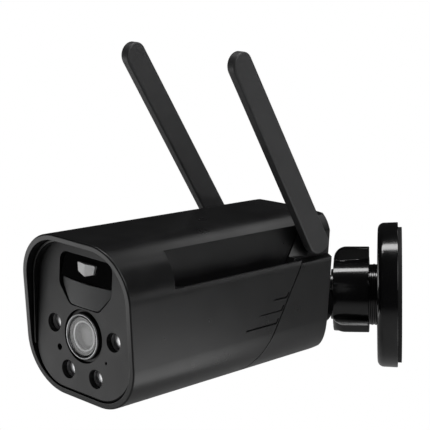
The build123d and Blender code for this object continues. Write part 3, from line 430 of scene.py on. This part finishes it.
# Cross-recessed pan heads over the two rear screws
screwHeads = {"places": [(-15.0, 32.0), (15.0, 32.0)], "seatMm": 134.2, "topMm": 136.3, "radiusMm": 2.85,
              "domeMm": 0.5, "slotMm": (0.38, 1.55), "slotDepthMm": 0.9, "slotRise": 0.5, "rings": 20,
              "spokes": 80}
for k, (x, z) in enumerate(screwHeads["places"]):
    form = bmesh.new()
    half, reach = screwHeads["slotMm"]
    shares = [ring / screwHeads["rings"] for ring in range(screwHeads["rings"] + 1)]
    rings = []
    for share in shares + [1.0]:
        ring = []
        for spoke in range(screwHeads["spokes"]):
            angle = math.tau * spoke / screwHeads["spokes"]
            across = share * screwHeads["radiusMm"] * math.cos(angle)
            upward = share * screwHeads["radiusMm"] * math.sin(angle)
            small, large = sorted((abs(across), abs(upward)))
            depth = screwHeads["topMm"] - screwHeads["domeMm"] * share ** 2
            if len(rings) > screwHeads["rings"]:
                depth = screwHeads["seatMm"]
            elif small < half and large < reach:
                depth -= screwHeads["slotDepthMm"] * (1 - screwHeads["slotRise"] * large / reach)
            ring.append(form.verts.new(headFrame @ Vector((x + across, depth, z + upward))))
        rings.append(ring)
    for one, two in zip(rings, rings[1:]):
        for spoke in range(screwHeads["spokes"]):
            form.faces.new((one[spoke - 1], one[spoke], two[spoke], two[spoke - 1]))
    form.faces.new(rings[-1])
    makePiece(f"rear_screw_head_{k}", form, {"finish": zincSteel, "body": "head", "smoothDeg": 40,
                                             "standsFor": [] if k else ["rear_screws"]})

# Thread on the stub between nut and plate: one ridge wound round it
thread = {"rootMm": 15.55, "crestMm": 15.93, "pitchMm": 1.9, "startMm": -10.9, "endMm": -17.0,
          "stepDeg": 7.5}
ridge = [(thread["rootMm"], 0.0), (thread["crestMm"], -0.3), (thread["crestMm"], -0.6),
         (thread["rootMm"], -0.9)]     # radius, and place as a share of the pitch
form = bmesh.new()
turns = (thread["startMm"] - thread["endMm"] - thread["pitchMm"]) / thread["pitchMm"]
sections = []
for step in range(int(turns * 360 / thread["stepDeg"]) + 1):
    angle = math.radians(step * thread["stepDeg"])
    along = thread["startMm"] - thread["pitchMm"] * angle / math.tau
    section = [Vector((radius * math.cos(angle), along + thread["pitchMm"] * share, radius * math.sin(angle)))
               for radius, share in ridge]
    sections.append([form.verts.new(wallFrame @ point) for point in section])
for one, two in zip(sections, sections[1:]):
    for k in range(len(ridge)):
        form.faces.new((one[k - 1], one[k], two[k], two[k - 1]))
form.faces.new(sections[0])
form.faces.new(sections[-1])
makePiece("stub_thread", form, {"finish": glossPc, "body": "bracket"})
print("fixings made")

# Studio: a pale floor and a bright backdrop in a dark room, so that black plastic keeps its depth
studio = {"floorSize": 30.0, "floorDrop": 0.16, "paint": "#b8b8b8", "paper": "#ffffff", "roomLight": 0.02,
          "backdropLight": 1.0}


# The lens sees the floor and the room as white paper, and the object is lit by the paint under the lamps
def seenAsPaper(tree, lit, output):
    rays = addNode(tree, "ShaderNodeLightPath")
    paper = addNode(tree, "ShaderNodeEmission", {"Color": linear(studio["paper"]),
                                                 "Strength": studio["backdropLight"]})
    either = addNode(tree, "ShaderNodeMixShader", {},
                     {0: (rays, "Is Camera Ray"), 1: (lit, 0), 2: (paper, 0)})
    addNode(tree, output, {}, {"Surface": (either, 0)})


bpy.ops.mesh.primitive_plane_add(size=studio["floorSize"],
                                 location=(0, 0, cadBox[0][2] - studio["floorDrop"]))
floor = bpy.context.object
floor.name = "studio_floor"
# Matt white paint: an even pale floor with no highlight
floorPaint, floorTree = startMaterial("matt_white_paint")
floorMatt = addNode(floorTree, "ShaderNodeBsdfDiffuse", {"Color": linear(studio["paint"])})
seenAsPaper(floorTree, floorMatt, "ShaderNodeOutputMaterial")
floor.data.materials.append(floorPaint)

room = bpy.data.worlds.new("studio_room")
bpy.context.scene.world = room
room.use_nodes = True
room.node_tree.nodes.clear()
roomGlow = addNode(room.node_tree, "ShaderNodeBackground", {"Strength": studio["roomLight"]})
seenAsPaper(room.node_tree, roomGlow, "ShaderNodeOutputWorld")

# Softboxes and cards round the object, turned to it unless they face down.
# Azimuth, elevation and spread are in degrees, distance and size in metres, and glow in W/sr/m2.
lampTarget = Vector((0.07, -0.07, 0.03))
lamps = {
    "overhead_strip": {"azimuth": 180, "elevation": 82, "far": 1.06, "size": (0.9, 0.22), "glow": 7.8},
    "left_floor_card": {"azimuth": 284, "elevation": -13.5, "far": 0.58, "size": (0.58, 0.17), "glow": 1.5},
    "left_back_card": {"azimuth": 240, "elevation": -7.5, "far": 0.6, "size": (0.4, 0.3), "glow": 1.6},
    "left_wall_card": {"azimuth": 305, "elevation": 12, "far": 0.8, "size": (0.4, 0.3), "glow": 0.6},
    "right_floor_card": {"azimuth": 72, "elevation": -43, "far": 0.255, "size": (0.2, 0.15), "glow": 1.3},
    "shoulder_box": {"azimuth": 142, "elevation": 42, "far": 0.8, "size": (0.5, 0.16), "glow": 1.3},
    "antenna_fill": {"azimuth": 54, "elevation": 38, "far": 0.8, "size": (0.6, 0.6), "glow": 2.2},
    "floor_pool": {"azimuth": 107, "elevation": 12.6, "far": 3.1, "size": (1.8, 3.0), "glow": 2.6,
                   "spread": 60, "facesDown": True}}
for name, lamp in lamps.items():
    azimuth, elevation = math.radians(lamp["azimuth"]), math.radians(lamp["elevation"])
    toLamp = Vector((math.cos(elevation) * math.cos(azimuth), math.cos(elevation) * math.sin(azimuth),
                     math.sin(elevation)))
    light = bpy.data.lights.new(name, "AREA")
    light.shape = "RECTANGLE"
    light.size, light.size_y = lamp["size"]
    light.energy = math.pi * lamp["glow"] * light.size * light.size_y
    light.spread = math.radians(lamp.get("spread", 180))
    holder = bpy.data.objects.new(name, light)
    bpy.context.scene.collection.objects.link(holder)
    holder.location = lampTarget + lamp["far"] * toLamp
    holder.visible_camera = False
    if not lamp.get("facesDown"):
        holder.rotation_euler = toLamp.to_track_quat("Z", "Y").to_euler()

# Camera at the photograph's angle: far enough away for its mild perspective, rolled by about 1.6 degrees
photoView = {"eye": (0.64396, -0.00531, 0.16930), "ahead": (-0.97164, -0.13835, -0.19176),
             "up": (-0.19364, 0.00009, 0.98107), "fieldDeg": 19.323}
ahead = Vector(photoView["ahead"]).normalized()
right = ahead.cross(Vector(photoView["up"])).normalized()
above = right.cross(ahead)
camera = bpy.data.objects.new("photo_camera", bpy.data.cameras.new("photo_camera"))
bpy.context.scene.collection.objects.link(camera)
camera.data.sensor_fit = "HORIZONTAL"
camera.data.angle = math.radians(photoView["fieldDeg"])
turn = Matrix((right, above, -ahead)).transposed().to_4x4()
camera.matrix_world = Matrix.Translation(photoView["eye"]) @ turn
bpy.context.scene.camera = camera
bpy.context.scene.view_settings.view_transform = "Standard"
print("studio and camera set")
